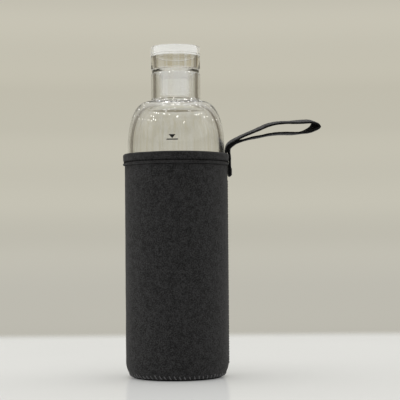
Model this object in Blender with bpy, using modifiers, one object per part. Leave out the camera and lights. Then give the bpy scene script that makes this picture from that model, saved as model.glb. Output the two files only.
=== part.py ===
"""Glass water bottle with a push-in stopper, standing in a neoprene sleeve with a sewn strap loop.

World frame: metres, +Z up, origin at the centre of the sleeve's flat base, strap on the +X side.
Sizes below are in millimetres; mm() turns a point into metres.
"""

import math

import bmesh
import bpy
from mathutils import Vector

# ---- driving dimensions, in millimetres -------------------------------------------------------
TURN_STEPS = 40  # segments round every turned piece
GAP = 0.3  # between two pieces that touch or squeeze on the real object

# glass
GLASS_R = 32.5
GLASS_WALL = 3.2
GLASS_FOOT_Z = 2.3
GLASS_HEEL_R = 3.5
PUNT_RISE = 1.4
SHOULDER_Z = 154.0  # where the straight side ends
SHOULDER_CENTRE_R = 20.0
SHOULDER_RISE = 29.9
NECK_R = 16.6
NECK_FILLET = 2.4
BORE_R = 13.4
BORE_MOUTH_R = 4.5  # rounding where the bore opens into the shoulder
RIM_Z = 203.4
RIM_EDGE_R = 1.2

# stopper
STOPPER_TOP_Z = 221.5
CAP_DISC_R = 16.75
CAP_WALL_R = 16.5
CAP_HOLLOW_R = 13.3
CAP_EDGE_R = 2.5
CAP_DISC_THICK = 6.9
GASKET_THICK = 1.8
GASKET_R = 15.9
PLUG_R = 11.25
PLUG_WALL = 1.6
PLUG_FOOT_Z = 187.5
PLUG_FLANGE_R = 13.0
PLUG_FLANGE_THICK = 1.4
SEAL_R = 13.1
SEAL_BOTTOM_Z = 198.2
SEAL_HEIGHT = 4.4

# sleeve
SLEEVE_R = 34.5
SLEEVE_IN_R = 32.85
SLEEVE_TOP_Z = 149.0
BASE_R = 29.7
BASE_THICK = 2.0
CORNER_OUT = 4.4  # the bottom corner is a quarter ellipse this wide
CORNER_UP = 9.8  # and this tall
HEM_R = 35.6
HEM_HEIGHT = 7.7
HEM_LAP_R = 33.9  # the sleeve wall where the hem laps over it
HEM_TOP_THICK = 1.4
STITCH_LINE_Z = 143.4
STITCH_GROOVE = 0.65

# thread
THREAD_R = 0.2
HEM_STITCHES = 88
BASE_STITCHES = 62
SIDE_STITCHES = 36
SEAM_HALF_WIDTH = 1.6

# strap
STRAP_WIDTH = 10.0
STRAP_THICK = 1.5
STRAP_ROOT_X = 36.0
STRAP_BEND_R = 98.0  # the loop leans towards +Y along an arc of this radius
STRAP_SAMPLES = 2  # curve samples in each span of the loop
STRAP_PIVOT = (37.6, 156.7)  # (x, z) where the webbing folds
TAIL_HALF_WIDTH = 4.9
TAIL_FOOT_Z = 134.0
TAIL_TOP_Z = 151.0
STRAP_SLOT_HALF_WIDTH = 5.25
STRAP_SLOT_X = 34.3

# The loop's centre line as (distance along the strap, height, rise of the far edge per mm of
# width), from the upper strand's root round the far bend to the lower strand's root.
LOOP_LINE = (
    (1.4, 157.3, 0.12), (3.1, 158.6, 0.12), (5.9, 160.0, 0.10), (10.0, 162.0, 0.08),
    (15.0, 163.9, 0.11), (20.0, 166.0, 0.10), (26.0, 168.5, 0.09), (32.0, 169.8, 0.10),
    (38.0, 170.5, 0.10), (44.0, 170.8, 0.13), (50.0, 171.1, 0.17), (55.0, 171.7, 0.20),
    (59.5, 172.0, 0.20), (62.9, 171.4, 0.10), (64.4, 169.7, 0.0), (63.5, 167.9, -0.03),
    (60.7, 166.5, -0.04), (56.0, 165.4, -0.05), (50.0, 164.3, -0.05), (44.0, 163.6, -0.03),
    (38.0, 163.2, -0.02), (32.0, 162.8, -0.03), (26.0, 161.9, -0.03), (20.0, 160.5, -0.02),
    (15.0, 159.4, -0.01), (10.0, 157.9, 0.02), (7.0, 157.0, 0.04), (4.8, 156.2, 0.05),
)

# name: (colour, roughness, metallic, transmission)
MATERIALS = {
    "clear_glass": ((0.92, 0.94, 0.92), 0.03, 0.0, 1.0),
    "clear_plastic": ((0.9, 0.91, 0.89), 0.08, 0.0, 1.0),
    "frosted_plastic": ((0.8, 0.8, 0.78), 0.45, 0.0, 0.5),
    "silicone": ((0.82, 0.82, 0.8), 0.5, 0.0, 0.3),
    "neoprene": ((0.022, 0.022, 0.023), 0.9, 0.0, 0.0),
    "thread": ((0.03, 0.03, 0.031), 0.75, 0.0, 0.0),
    "webbing": ((0.02, 0.02, 0.021), 0.8, 0.0, 0.0),
}


# ---- scene and materials ----------------------------------------------------------------------
def clear_scene():
    for obj in list(bpy.data.objects):
        bpy.data.objects.remove(obj)


def new_collection(name):
    collection = bpy.data.collections.new(name)
    bpy.context.scene.collection.children.link(collection)
    return collection


def principled(name, piece):
    """A material of its own for one piece."""
    colour, roughness, metallic, transmission = MATERIALS[name]
    material = bpy.data.materials.new(f"{piece}_{name}")
    material.use_nodes = True
    shader = material.node_tree.nodes["Principled BSDF"]
    shader.inputs["Base Color"].default_value = (*colour, 1.0)
    shader.inputs["Roughness"].default_value = roughness
    shader.inputs["Metallic"].default_value = metallic
    shader.inputs["Transmission Weight"].default_value = transmission
    return material


def add_part(name, data, material, origin=(0.0, 0.0, 0.0)):
    obj = bpy.data.objects.new(name, data)
    obj.location = mm(*origin)
    PARTS.objects.link(obj)
    data.materials.append(principled(material, name))
    return obj


# ---- geometry helpers -------------------------------------------------------------------------
def mm(x, y, z):
    return Vector((x, y, z)) / 1000.0


def arc(centre, radii, start_deg, end_deg, steps):
    """Points (r, z) on an ellipse quarter or less, both ends included."""
    points = []
    for i in range(steps + 1):
        angle = math.radians(start_deg + (end_deg - start_deg) * i / steps)
        points.append((centre[0] + radii[0] * math.cos(angle), centre[1] + radii[1] * math.sin(angle)))
    return points


def turned(name, profile, material, closed, origin_z=0.0):
    """A profile of (r, z) points turned about Z. It runs down its outer side."""
    mesh = bpy.data.meshes.new(name)
    vertices = [mm(r, 0.0, z - origin_z) for r, z in profile]
    edges = [(i, i + 1) for i in range(len(profile) - 1)]
    if closed:
        edges.append((len(profile) - 1, 0))
    mesh.from_pydata(vertices, edges, [])
    obj = add_part(name, mesh, material, (0.0, 0.0, origin_z))
    screw = obj.modifiers.new("turn", "SCREW")
    screw.axis = "Z"
    screw.angle = math.tau
    screw.steps = TURN_STEPS
    screw.render_steps = TURN_STEPS
    screw.use_merge_vertices = True
    screw.merge_threshold = 0.00001
    screw.use_smooth_shade = True
    return obj


def thread(name, points, closed):
    """A sewing thread through the points, in millimetres."""
    curve = bpy.data.curves.new(name, "CURVE")
    curve.dimensions = "3D"
    curve.bevel_depth = THREAD_R / 1000.0
    curve.bevel_resolution = 0
    curve.use_fill_caps = True
    spline = curve.splines.new("POLY")
    spline.points.add(len(points) - 1)
    for point, place in zip(spline.points, points):
        point.co = (*mm(*place), 1.0)
    spline.use_cyclic_u = closed
    return add_part(name, curve, "thread")


def flat_strip(name, outline, half_width):
    """A flat outline of (x, z) points, standing in the XZ plane and extruded along Y."""
    curve = bpy.data.curves.new(name, "CURVE")
    curve.dimensions = "2D"
    curve.fill_mode = "BOTH"
    curve.extrude = half_width / 1000.0
    spline = curve.splines.new("POLY")
    spline.points.add(len(outline) - 1)
    for point, (x, z) in zip(spline.points, outline):
        point.co = (*mm(x, z, 0.0), 1.0)
    spline.use_cyclic_u = True
    obj = add_part(name, curve, "webbing")
    obj.rotation_euler = (math.radians(90.0), 0.0, 0.0)
    return obj


def slot_cutter(name, low_z):
    """The notch that lets the strap's inner end down into the hem."""
    top_z = SLEEVE_TOP_Z + 10.0
    inner_x = SLEEVE_IN_R - 4.0
    cutter_mesh = bpy.data.meshes.new(name)
    box = bmesh.new()
    bmesh.ops.create_cube(box, size=1.0)
    size = mm(STRAP_SLOT_X - inner_x, 2 * STRAP_SLOT_HALF_WIDTH, top_z - low_z)
    centre = mm((STRAP_SLOT_X + inner_x) / 2, 0.0, (top_z + low_z) / 2)
    for vertex in box.verts:
        vertex.co = centre + Vector(a * b for a, b in zip(vertex.co, size))
    box.to_mesh(cutter_mesh)
    box.free()
    cutter = bpy.data.objects.new(name, cutter_mesh)
    cutter.hide_render = True
    cutter.display_type = "WIRE"
    CUTTERS.objects.link(cutter)
    return cutter


def cut(obj, cutter):
    boolean = obj.modifiers.new("strap_slot", "BOOLEAN")
    boolean.operation = "DIFFERENCE"
    boolean.solver = "EXACT"
    boolean.object = cutter


# ---- glass ------------------------------------------------------------------------------------
def glass_outside():
    """Down the outside, from the rim to the middle of the foot."""
    rim = arc((NECK_R - RIM_EDGE_R, RIM_Z - RIM_EDGE_R), (RIM_EDGE_R, RIM_EDGE_R), 90, 0, 3)
    shoulder_top = SHOULDER_Z + SHOULDER_RISE
    fillet_r = NECK_R + NECK_FILLET
    fillet = arc((fillet_r, shoulder_top + NECK_FILLET), (NECK_FILLET, NECK_FILLET), 180, 270, 3)
    shoulder_width = GLASS_R - SHOULDER_CENTRE_R
    shoulder = arc((SHOULDER_CENTRE_R, SHOULDER_Z), (shoulder_width, SHOULDER_RISE), 90, 0, 8)
    heel_centre = (GLASS_R - GLASS_HEEL_R, GLASS_FOOT_Z + GLASS_HEEL_R)
    heel = arc(heel_centre, (GLASS_HEEL_R, GLASS_HEEL_R), 0, -90, 3)
    punt = [(GLASS_R * 0.75, GLASS_FOOT_Z), (0.0, GLASS_FOOT_Z + PUNT_RISE)]
    return rim + fillet + shoulder + heel + punt


def glass_inside():
    """Up the inside, from the middle of the floor to the rim."""
    inner_r = GLASS_R - GLASS_WALL
    floor_z = GLASS_FOOT_Z + 1.6 * GLASS_WALL
    inner_heel = arc((inner_r - 4.0, floor_z + 4.0), (4.0, 4.0), -90, 0, 3)
    ceiling_r = BORE_R + BORE_MOUTH_R
    ceiling_rise = SHOULDER_RISE - 0.97 * GLASS_WALL
    ceiling = arc((ceiling_r, SHOULDER_Z), (inner_r - ceiling_r, ceiling_rise), 0, 90, 8)
    mouth_centre = (ceiling_r, SHOULDER_Z + ceiling_rise + BORE_MOUTH_R)
    mouth = arc(mouth_centre, (BORE_MOUTH_R, BORE_MOUTH_R), 270, 180, 3)
    rim = arc((BORE_R + 0.8, RIM_Z - 0.8), (0.8, 0.8), 180, 90, 2)
    return [(0.0, floor_z + 1.0)] + inner_heel + ceiling + mouth[1:] + rim


def build_glass_bottle():
    turned("glass_bottle", glass_inside() + glass_outside(), "clear_glass", closed=False)


# ---- stopper ----------------------------------------------------------------------------------
def build_neck_gasket():
    bottom = RIM_Z + GAP
    top = bottom + GASKET_THICK
    inner = PLUG_R + GAP
    profile = [(inner, top), (GASKET_R - 0.4, top), (GASKET_R, top - 0.4)]
    profile += [(GASKET_R, bottom + 0.4), (GASKET_R - 0.4, bottom), (inner, bottom)]
    turned("neck_gasket", profile, "silicone", closed=True, origin_z=bottom)


def build_cap_shell():
    top = STOPPER_TOP_Z
    under = top - CAP_DISC_THICK
    bottom = RIM_Z + GAP + GASKET_THICK + GAP
    edge = arc((CAP_DISC_R - CAP_EDGE_R, top - CAP_EDGE_R), (CAP_EDGE_R, CAP_EDGE_R), 90, 0, 5)
    profile = [(0.0, top)] + edge
    profile += [(CAP_DISC_R, under + 0.6), (CAP_WALL_R, under), (CAP_WALL_R, bottom + 0.5)]
    profile += [(CAP_WALL_R - 0.5, bottom), (CAP_HOLLOW_R + 0.3, bottom), (CAP_HOLLOW_R, bottom + 0.3)]
    profile += arc((CAP_HOLLOW_R - 1.0, under - 1.0), (1.0, 1.0), 0, 90, 3)
    profile += [(0.0, under)]
    turned("cap_shell", profile, "clear_plastic", closed=False, origin_z=bottom)


def build_stopper_plug():
    """A cup, open at the top, whose flange snaps into the cap."""
    flange_bottom = RIM_Z + GAP + GASKET_THICK + GAP + 0.2
    top = flange_bottom + PLUG_FLANGE_THICK
    inner = PLUG_R - PLUG_WALL
    floor = PLUG_FOOT_Z + PLUG_WALL
    profile = [(0.0, floor), (inner - 0.8, floor), (inner, floor + 0.8), (inner, top)]
    profile += [(PLUG_FLANGE_R, top), (PLUG_FLANGE_R, flange_bottom), (PLUG_R, flange_bottom)]
    profile += arc((PLUG_R - 1.5, PLUG_FOOT_Z + 1.5), (1.5, 1.5), 0, -90, 3)
    profile += [(0.0, PLUG_FOOT_Z)]
    turned("stopper_plug", profile, "frosted_plastic", closed=False, origin_z=PLUG_FOOT_Z)


def build_plug_seal():
    """A silicone ring with two lips that press on the bore."""
    top = SEAL_BOTTOM_Z + SEAL_HEIGHT
    inner = PLUG_R + GAP
    waist = SEAL_R - 0.6
    middle = (top + SEAL_BOTTOM_Z) / 2
    profile = [(inner, top), (waist, top), (SEAL_R, top - 0.8), (waist, middle)]
    profile += [(SEAL_R, SEAL_BOTTOM_Z + 0.8), (waist, SEAL_BOTTOM_Z), (inner, SEAL_BOTTOM_Z)]
    turned("plug_seal", profile, "silicone", closed=True, origin_z=SEAL_BOTTOM_Z)


# ---- sleeve -----------------------------------------------------------------------------------
def corner_point(angle_deg, standoff=0.0):
    """(r, z) on the sleeve's rounded bottom corner, 0 degrees at its top, pushed out by standoff."""
    angle = math.radians(angle_deg)
    normal = Vector((math.cos(angle) / CORNER_OUT, -math.sin(angle) / CORNER_UP)).normalized()
    centre_r = SLEEVE_R - 0.1 - CORNER_OUT
    r = centre_r + CORNER_OUT * math.cos(angle) + standoff * normal.x
    z = CORNER_UP + 0.1 - CORNER_UP * math.sin(angle) + standoff * normal.y
    return r, z


def build_sleeve_body():
    lap_top = SLEEVE_TOP_Z - HEM_TOP_THICK - GAP
    lap_bottom = SLEEVE_TOP_Z - HEM_HEIGHT - GAP
    profile = [(SLEEVE_IN_R, lap_top), (HEM_LAP_R, lap_top), (HEM_LAP_R, lap_bottom)]
    profile += [(SLEEVE_R, lap_bottom - 0.6)]
    profile += [corner_point(angle) for angle in range(0, 91, 15)]
    heel_r = GLASS_HEEL_R + SLEEVE_IN_R - GLASS_R
    heel_centre = (GLASS_R - GLASS_HEEL_R, GLASS_FOOT_Z + GLASS_HEEL_R)
    profile += arc(heel_centre, (heel_r, heel_r), -70, 0, 4)
    body = turned("sleeve_body", profile, "neoprene", closed=True)
    cut(body, slot_cutter("body_slot_cutter", lap_bottom + 0.2))


def build_sleeve_base():
    edge = 0.4
    profile = [(0.0, BASE_THICK), (BASE_R - edge, BASE_THICK), (BASE_R, BASE_THICK - edge)]
    profile += [(BASE_R, edge), (BASE_R - edge, 0.0), (0.0, 0.0)]
    turned("sleeve_base", profile, "neoprene", closed=False)


def build_top_hem():
    """The band folded over the sleeve's rim, with a groove where the stitch line pulls it in."""
    top = SLEEVE_TOP_Z
    foot = top - HEM_HEIGHT
    inner_leg = HEM_LAP_R + GAP
    groove_r = HEM_R - STITCH_GROOVE
    profile = [(SLEEVE_IN_R + 0.4, top)]
    profile += arc((HEM_R - 1.2, top - 1.2), (1.2, 1.2), 90, 0, 3)
    profile += [(HEM_R, STITCH_LINE_Z + 0.8), (groove_r, STITCH_LINE_Z + 0.5)]
    profile += [(groove_r, STITCH_LINE_Z - 0.5), (HEM_R, STITCH_LINE_Z - 0.8)]
    profile += [(HEM_R, foot + 0.4), (HEM_R - 0.4, foot), (inner_leg, foot)]
    profile += [(inner_leg, top - HEM_TOP_THICK), (SLEEVE_IN_R, top - HEM_TOP_THICK)]
    profile += [(SLEEVE_IN_R, top - 0.4)]
    hem = turned("top_hem", profile, "neoprene", closed=True)
    cut(hem, slot_cutter("hem_slot_cutter", foot - 2.0))


def round_point(r, z, turn):
    """A point at radius r, at this share of a full turn from +X."""
    return r * math.cos(math.tau * turn), r * math.sin(math.tau * turn), z


def build_hem_stitching():
    middle_r = HEM_R - STITCH_GROOVE + THREAD_R + 0.13
    points = []
    for i in range(HEM_STITCHES):
        wave = 0.05 if i % 2 else -0.05
        points.append(round_point(middle_r + wave, STITCH_LINE_Z, i / HEM_STITCHES))
    thread("hem_stitching", points, closed=True)


def build_base_seam_stitching():
    points = []
    for i in range(2 * BASE_STITCHES):
        r, z = corner_point(66 if i % 2 else 38, standoff=0.5)
        points.append(round_point(r, z, (i + 0.5) / (2 * BASE_STITCHES)))
    thread("base_seam_stitching", points, closed=True)


def build_side_seam_stitching():
    low, high = 9.0, TAIL_FOOT_Z - 3.0
    points = []
    for i in range(2 * SIDE_STITCHES + 1):
        side = SEAM_HALF_WIDTH if i % 2 else -SEAM_HALF_WIDTH
        points.append((SLEEVE_R + 0.4, side, low + (high - low) * i / (2 * SIDE_STITCHES)))
    thread("side_seam_stitching", points, closed=False)


# ---- strap ------------------------------------------------------------------------------------
def smooth_line(points, samples):
    """The points joined by a Catmull-Rom curve, with this many samples in each span."""
    line = []
    for i in range(len(points) - 1):
        before = Vector(points[max(i - 1, 0)])
        start = Vector(points[i])
        end = Vector(points[i + 1])
        after = Vector(points[min(i + 2, len(points) - 1)])
        for step in range(samples):
            t = step / samples
            slope_in = (end - before) / 2
            slope_out = (after - start) / 2
            line.append(
                start * (2 * t**3 - 3 * t**2 + 1)
                + slope_in * (t**3 - 2 * t**2 + t)
                + end * (3 * t**2 - 2 * t**3)
                + slope_out * (t**3 - t**2)
            )
    line.append(Vector(points[-1]))
    return line


def leaning(along, across, height):
    """The strap's place in space: along its arc towards +Y, across its width, and up."""
    angle = along / STRAP_BEND_R
    x = STRAP_ROOT_X + (STRAP_BEND_R - across) * math.sin(angle)
    y = STRAP_BEND_R - (STRAP_BEND_R - across) * math.cos(angle)
    return x, y, height


def build_strap_loop():
    """The free loop, with its origin on the fold it swings about."""
    pivot = mm(STRAP_PIVOT[0], 0.0, STRAP_PIVOT[1])
    ribbon = bmesh.new()
    rows = []
    for along, height, rise in smooth_line(LOOP_LINE, STRAP_SAMPLES):
        row = []
        for across in (-STRAP_WIDTH / 2, STRAP_WIDTH / 2):
            place = leaning(along, across, height + across * rise)
            row.append(ribbon.verts.new(mm(*place) - pivot))
        rows.append(row)
    for (a, b), (c, d) in zip(rows, rows[1:]):
        ribbon.faces.new((a, b, d, c))
    bmesh.ops.recalc_face_normals(ribbon, faces=ribbon.faces)
    mesh = bpy.data.meshes.new("strap_loop")
    ribbon.to_mesh(mesh)
    ribbon.free()
    loop = add_part("strap_loop", mesh, "webbing", (STRAP_PIVOT[0], 0.0, STRAP_PIVOT[1]))
    solidify = loop.modifiers.new("thickness", "SOLIDIFY")
    solidify.thickness = STRAP_THICK / 1000.0
    solidify.offset = 0.0
    solidify.use_even_offset = True


def build_strap_outer_tail():
    """The outer end, sewn flat on the sleeve below the hem and doubled over at its foot."""
    face = HEM_R + GAP
    skin = SLEEVE_R + 0.35
    outline = [(skin, TAIL_FOOT_Z), (37.5, TAIL_FOOT_Z), (37.6, TAIL_FOOT_Z + 5.2)]
    outline += [(face + 1.25, TAIL_FOOT_Z + 7.4), (face + 1.3, TAIL_TOP_Z), (face, TAIL_TOP_Z)]
    outline += [(face, SLEEVE_TOP_Z - HEM_HEIGHT - 0.4), (skin, TAIL_FOOT_Z + 5.8)]
    flat_strip("strap_outer_tail", outline, TAIL_HALF_WIDTH)


def build_strap_inner_tail():
    """The inner end, sewn between the hem and the sleeve wall."""
    foot = SLEEVE_TOP_Z - HEM_HEIGHT + 0.2
    inner = SLEEVE_IN_R + 0.1
    outer = STRAP_SLOT_X - GAP
    outline = [(inner, foot), (outer, foot), (outer, SLEEVE_TOP_Z + 0.5), (outer + 0.3, SLEEVE_TOP_Z + 2.5)]
    outline += [(outer + 1.2, TAIL_TOP_Z + 0.5), (inner + 0.9, TAIL_TOP_Z + 1.0)]
    outline += [(inner + 0.1, SLEEVE_TOP_Z + 3.0)]
    flat_strip("strap_inner_tail", outline, TAIL_HALF_WIDTH)


def build_strap_tack_stitching():
    """The bar tack across the doubled foot of the outer tail."""
    passes = 7
    face_x = 37.6 + GAP + THREAD_R
    points = []
    for i in range(passes + 1):
        side = 3.6 if i % 2 else -3.6
        points.append((face_x, side, TAIL_FOOT_Z + 1.0 + 0.55 * i))
    thread("strap_tack_stitching", points, closed=False)


# ---- the object -------------------------------------------------------------------------------
clear_scene()
PARTS = new_collection("glass_water_bottle")
CUTTERS = new_collection("cutters")

build_glass_bottle()
build_neck_gasket()
build_cap_shell()
build_stopper_plug()
build_plug_seal()
build_sleeve_body()
build_sleeve_base()
build_top_hem()
build_hem_stitching()
build_base_seam_stitching()
build_side_seam_stitching()
build_strap_loop()
build_strap_outer_tail()
build_strap_inner_tail()
build_strap_tack_stitching()
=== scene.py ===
"""The looks of the glass water bottle in its neoprene sleeve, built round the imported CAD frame.

Lengths are in millimetres in the frame's own coordinates; MM turns them into metres.
"""

import math
import random

import bmesh
import bpy
from mathutils import Matrix, Vector, noise


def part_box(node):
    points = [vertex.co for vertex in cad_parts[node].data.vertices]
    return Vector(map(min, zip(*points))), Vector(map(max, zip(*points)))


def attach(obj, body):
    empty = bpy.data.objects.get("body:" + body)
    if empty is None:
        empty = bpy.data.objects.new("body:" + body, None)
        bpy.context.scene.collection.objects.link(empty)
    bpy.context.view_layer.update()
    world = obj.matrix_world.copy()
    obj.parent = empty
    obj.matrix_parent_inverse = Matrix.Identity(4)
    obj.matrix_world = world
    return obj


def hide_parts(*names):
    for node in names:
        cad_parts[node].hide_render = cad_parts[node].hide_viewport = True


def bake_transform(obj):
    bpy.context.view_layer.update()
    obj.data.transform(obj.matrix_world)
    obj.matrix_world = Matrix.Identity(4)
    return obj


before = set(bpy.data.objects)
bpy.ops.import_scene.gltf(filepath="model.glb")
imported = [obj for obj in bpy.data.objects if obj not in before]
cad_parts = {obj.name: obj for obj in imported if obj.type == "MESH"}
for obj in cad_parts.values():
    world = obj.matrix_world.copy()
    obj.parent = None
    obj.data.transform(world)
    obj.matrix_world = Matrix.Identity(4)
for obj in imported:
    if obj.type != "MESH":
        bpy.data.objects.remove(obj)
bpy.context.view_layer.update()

MM = 0.001
AXIS_X = Vector((1.0, 0.0, 0.0))


# ---- sizes read from the frame ----------------------------------------------------------------
def box_mm(node):
    low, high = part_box(node)
    return low / MM, high / MM


def radii_mm(node, low_z, high_z):
    """(smallest, largest) distance from the Z axis of a node's points between two heights."""
    found = [
        math.hypot(v.co.x, v.co.y) / MM
        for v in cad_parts[node].data.vertices
        if low_z - 0.01 <= v.co.z / MM <= high_z + 0.01
    ]
    return min(found), max(found)


glass_low, glass_high = box_mm("glass_bottle")
cap_low, cap_high = box_mm("cap_shell")
gasket_low, gasket_high = box_mm("neck_gasket")
plug_low, plug_high = box_mm("stopper_plug")
seal_low, seal_high = box_mm("plug_seal")
body_high = box_mm("sleeve_body")[1]
base_high = box_mm("sleeve_base")[1]
hem_low, hem_high = box_mm("top_hem")
stitch_low, stitch_high = box_mm("hem_stitching")

# The glass: a straight side, an elliptical shoulder and a straight neck.
GLASS_R = glass_high.x
GLASS_FOOT_Z = glass_low.z
RIM_Z = glass_high.z
BORE_R, NECK_R = radii_mm("glass_bottle", RIM_Z - 5.0, RIM_Z)
GLASS_WALL = 3.2
HEEL_R = 3.5
INNER_HEEL_R = 4.0
SHOULDER_Z = 154.0
SHOULDER_RISE = 29.9
SHOULDER_CENTRE_R = 20.0
NECK_FILLET = 2.4
BORE_MOUTH_R = 4.5
RIM_OUTER_EDGE_R = 1.2
RIM_INNER_EDGE_R = 0.8

# The fill mark: a triangle over a bar.
MARK_X = -2.5
MARK_Z = 158.1
MARK_BACK = 0.02
MARK_FRONT = 0.06
BAR_WIDTH = 7.4
TIP_WIDTH = 0.3
TRIANGLE_SPREAD = 4.2

# The stopper.
CAP_DISC_THICK = 6.9
CAP_EDGE_R = 1.2
CAP_LINE_UP = 1.4
CAP_LINE_HALF = 0.35
CAP_LINE_DEPTH = 0.25
CAP_STEP_R = 0.4
CAP_FOOT_R = 0.5
CAP_INNER_FOOT_R = 0.3
CAP_HOLLOW_CORNER_R = 0.06
PLUG_WALL = 1.6
PLUG_CORNER_R = 1.5
PLUG_INNER_CORNER_R = 1.2
FLANGE_THICK = 1.4
FLANGE_EDGE = 0.3
SEAL_DEPTH = 1.5
SEAL_LIP_OUT = 0.6
SEAL_LIP_HALF = 0.8

# The sleeve.
SLEEVE_R = body_high.x
SLEEVE_WALL = 1.65
SLEEVE_IN_R = SLEEVE_R - SLEEVE_WALL
LAP_EDGE_R = 0.6
CORNER_OUT = 4.4
CORNER_UP = 9.8
CORNER_FLATNESS = 1.22
CORNER_FOOT_Z = 0.9
BASE_R = base_high.x
BASE_EDGE_R = 0.6
HEM_R = hem_high.x
HEM_EDGE_R = 1.3
HEM_INNER_THICK = 1.4
HEM_GROOVE_R = HEM_R - 0.75
STITCH_Z = (stitch_low.z + stitch_high.z) / 2

# The strap: one bent band, thinner where it is sewn down.
STRAP_WIDTH = 10.0
STRAP_THICK = 1.6
SEWN_THICK = 1.25
STRAP_BEND_R = 98.0
STRAP_ROOT_X = 36.0
STRAP_SAMPLES = 7

# The stitching.
HEM_STITCHES = 88
HEM_THREAD_R = 0.24
BASE_STITCHES = 62
WHIP_THREAD_R = 0.4
WHIP_TOP_DEG = 48.0
WHIP_FOOT_DEG = 80.0
SIDE_STITCHES = 36
SEAM_THREAD_R = 0.2
TACK_ROWS = 10
TACK_HALF = 3.8

# How finely the turned pieces are divided round the axis.
BODY_STEPS = 6 * BASE_STITCHES
HEM_STEPS = 4 * HEM_STITCHES
GLASS_STEPS = 192
PLUG_STEPS = 128
BASE_STEPS = 160


# ---- small maths ------------------------------------------------------------------------------
def smooth(low, high, value):
    t = min(max((value - low) / (high - low), 0.0), 1.0)
    return t * t * (3.0 - 2.0 * t)


def around(r, z, angle):
    return r * math.cos(angle), r * math.sin(angle), z


def arc(centre, radii, start_deg, end_deg, steps):
    """Points (r, z) along part of an ellipse, both ends included."""
    points = []
    for i in range(steps + 1):
        angle = math.radians(start_deg + (end_deg - start_deg) * i / steps)
        r = centre[0] + radii[0] * math.cos(angle)
        z = centre[1] + radii[1] * math.sin(angle)
        points.append((r, z))
    return points


def rounded(centre_r, centre_z, radius, start_deg, end_deg, steps):
    """Points (r, z) along part of a circle, both ends included."""
    return arc((centre_r, centre_z), (radius, radius), start_deg, end_deg, steps)


def straight(start, end, steps):
    """Points between two points, leaving both of them out."""
    return [tuple(a + (b - a) * i / steps for a, b in zip(start, end)) for i in range(1, steps)]


def lumps(place, size, seed):
    """Smooth noise from -1 to 1 at a place in millimetres, with lumps of about this size."""
    return noise.noise(Vector(place) / size + Vector((seed, 2.0 * seed, 3.0 * seed)))


def smooth_line(points, samples):
    """The points joined by a Catmull-Rom curve, with this many samples in each span."""
    line = []
    for i in range(len(points) - 1):
        before = Vector(points[max(i - 1, 0)])
        start = Vector(points[i])
        end = Vector(points[i + 1])
        after = Vector(points[min(i + 2, len(points) - 1)])
        slope_in = (end - before) / 2
        slope_out = (after - start) / 2
        for step in range(samples):
            t = step / samples
            line.append(
                start * (2 * t**3 - 3 * t**2 + 1)
                + slope_in * (t**3 - 2 * t**2 + t)
                + end * (3 * t**2 - 2 * t**3)
                + slope_out * (t**3 - t**2)
            )
    line.append(Vector(points[-1]))
    return line


# ---- mesh builders ----------------------------------------------------------------------------
def finish_piece(name, bm, materials, body, replaced=()):
    """The mesh as a shaded object that rides on a body."""
    bmesh.ops.recalc_face_normals(bm, faces=bm.faces)
    for face in bm.faces:
        face.smooth = True
    mesh = bpy.data.meshes.new(name)
    bm.to_mesh(mesh)
    bm.free()
    mesh.transform(Matrix.Scale(MM, 4))
    obj = bpy.data.objects.new(name, mesh)
    bpy.context.scene.collection.objects.link(obj)
    for material in materials:
        mesh.materials.append(material)
    if body:
        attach(obj, body)
    if replaced:
        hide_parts(*replaced)
    return obj


def turn_into(bm, profile, steps, closed, shape=None):
    """Turns (r, z) points about Z. shape(r, z, angle) may move a point; it returns a new (r, z)."""
    rings = []
    for r, z in profile:
        if r < 1e-6:
            rings.append([bm.verts.new((0.0, 0.0, z))])
            continue
        ring = []
        for i in range(steps):
            angle = math.tau * i / steps
            at_r, at_z = shape(r, z, angle) if shape else (r, z)
            ring.append(bm.verts.new(around(at_r, at_z, angle)))
        rings.append(ring)
    pairs = list(zip(rings, rings[1:]))
    if closed:
        pairs.append((rings[-1], rings[0]))
    for first, second in pairs:
        for i in range(steps):
            j = (i + 1) % steps
            if len(first) == 1:
                bm.faces.new((first[0], second[j], second[i]))
            elif len(second) == 1:
                bm.faces.new((first[i], first[j], second[0]))
            else:
                bm.faces.new((first[i], first[j], second[j], second[i]))


def turned(name, profile, steps, material, body, node, closed=False, shape=None):
    """A turned piece that stands for one CAD node; closed is for a profile that is a whole ring."""
    bm = bmesh.new()
    turn_into(bm, profile, steps, closed, shape)
    return finish_piece(name, bm, [material], body, [node])


def tube_into(bm, points, radii, sides=8):
    """A thread through the points, closed to a point at both ends."""
    points = [Vector(p) for p in points]
    tangents = []
    for i in range(len(points)):
        before = points[max(i - 1, 0)]
        after = points[min(i + 1, len(points) - 1)]
        tangents.append((after - before).normalized())
    across = tangents[0].orthogonal().normalized()
    rings = []
    for point, tangent, radius in zip(points, tangents, radii):
        across = (across - tangent * across.dot(tangent)).normalized()
        other = tangent.cross(across)
        ring = []
        for k in range(sides):
            angle = math.tau * k / sides
            outward = across * math.cos(angle) + other * math.sin(angle)
            ring.append(bm.verts.new(point + outward * radius))
        rings.append(ring)
    first = bm.verts.new(points[0] - tangents[0] * radii[0] * 0.6)
    last = bm.verts.new(points[-1] + tangents[-1] * radii[-1] * 0.6)
    for ring, following in zip(rings, rings[1:]):
        for k in range(sides):
            m = (k + 1) % sides
            bm.faces.new((ring[k], ring[m], following[m], following[k]))
    for k in range(sides):
        m = (k + 1) % sides
        bm.faces.new((first, rings[0][m], rings[0][k]))
        bm.faces.new((last, rings[-1][k], rings[-1][m]))


def stitch_into(bm, start, end, lift, radius, steps=6):
    """One stitch: a thread from start to end that arches over the fabric and dives in at its ends."""
    start, end, lift = Vector(start), Vector(end), Vector(lift)
    points = []
    radii = []
    for i in range(steps + 1):
        t = i / steps
        arch = math.sin(math.pi * t) ** 0.6
        points.append(start.lerp(end, t) + lift * arch)
        radii.append(radius * (0.55 + 0.45 * arch))
    tube_into(bm, points, radii)


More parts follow.
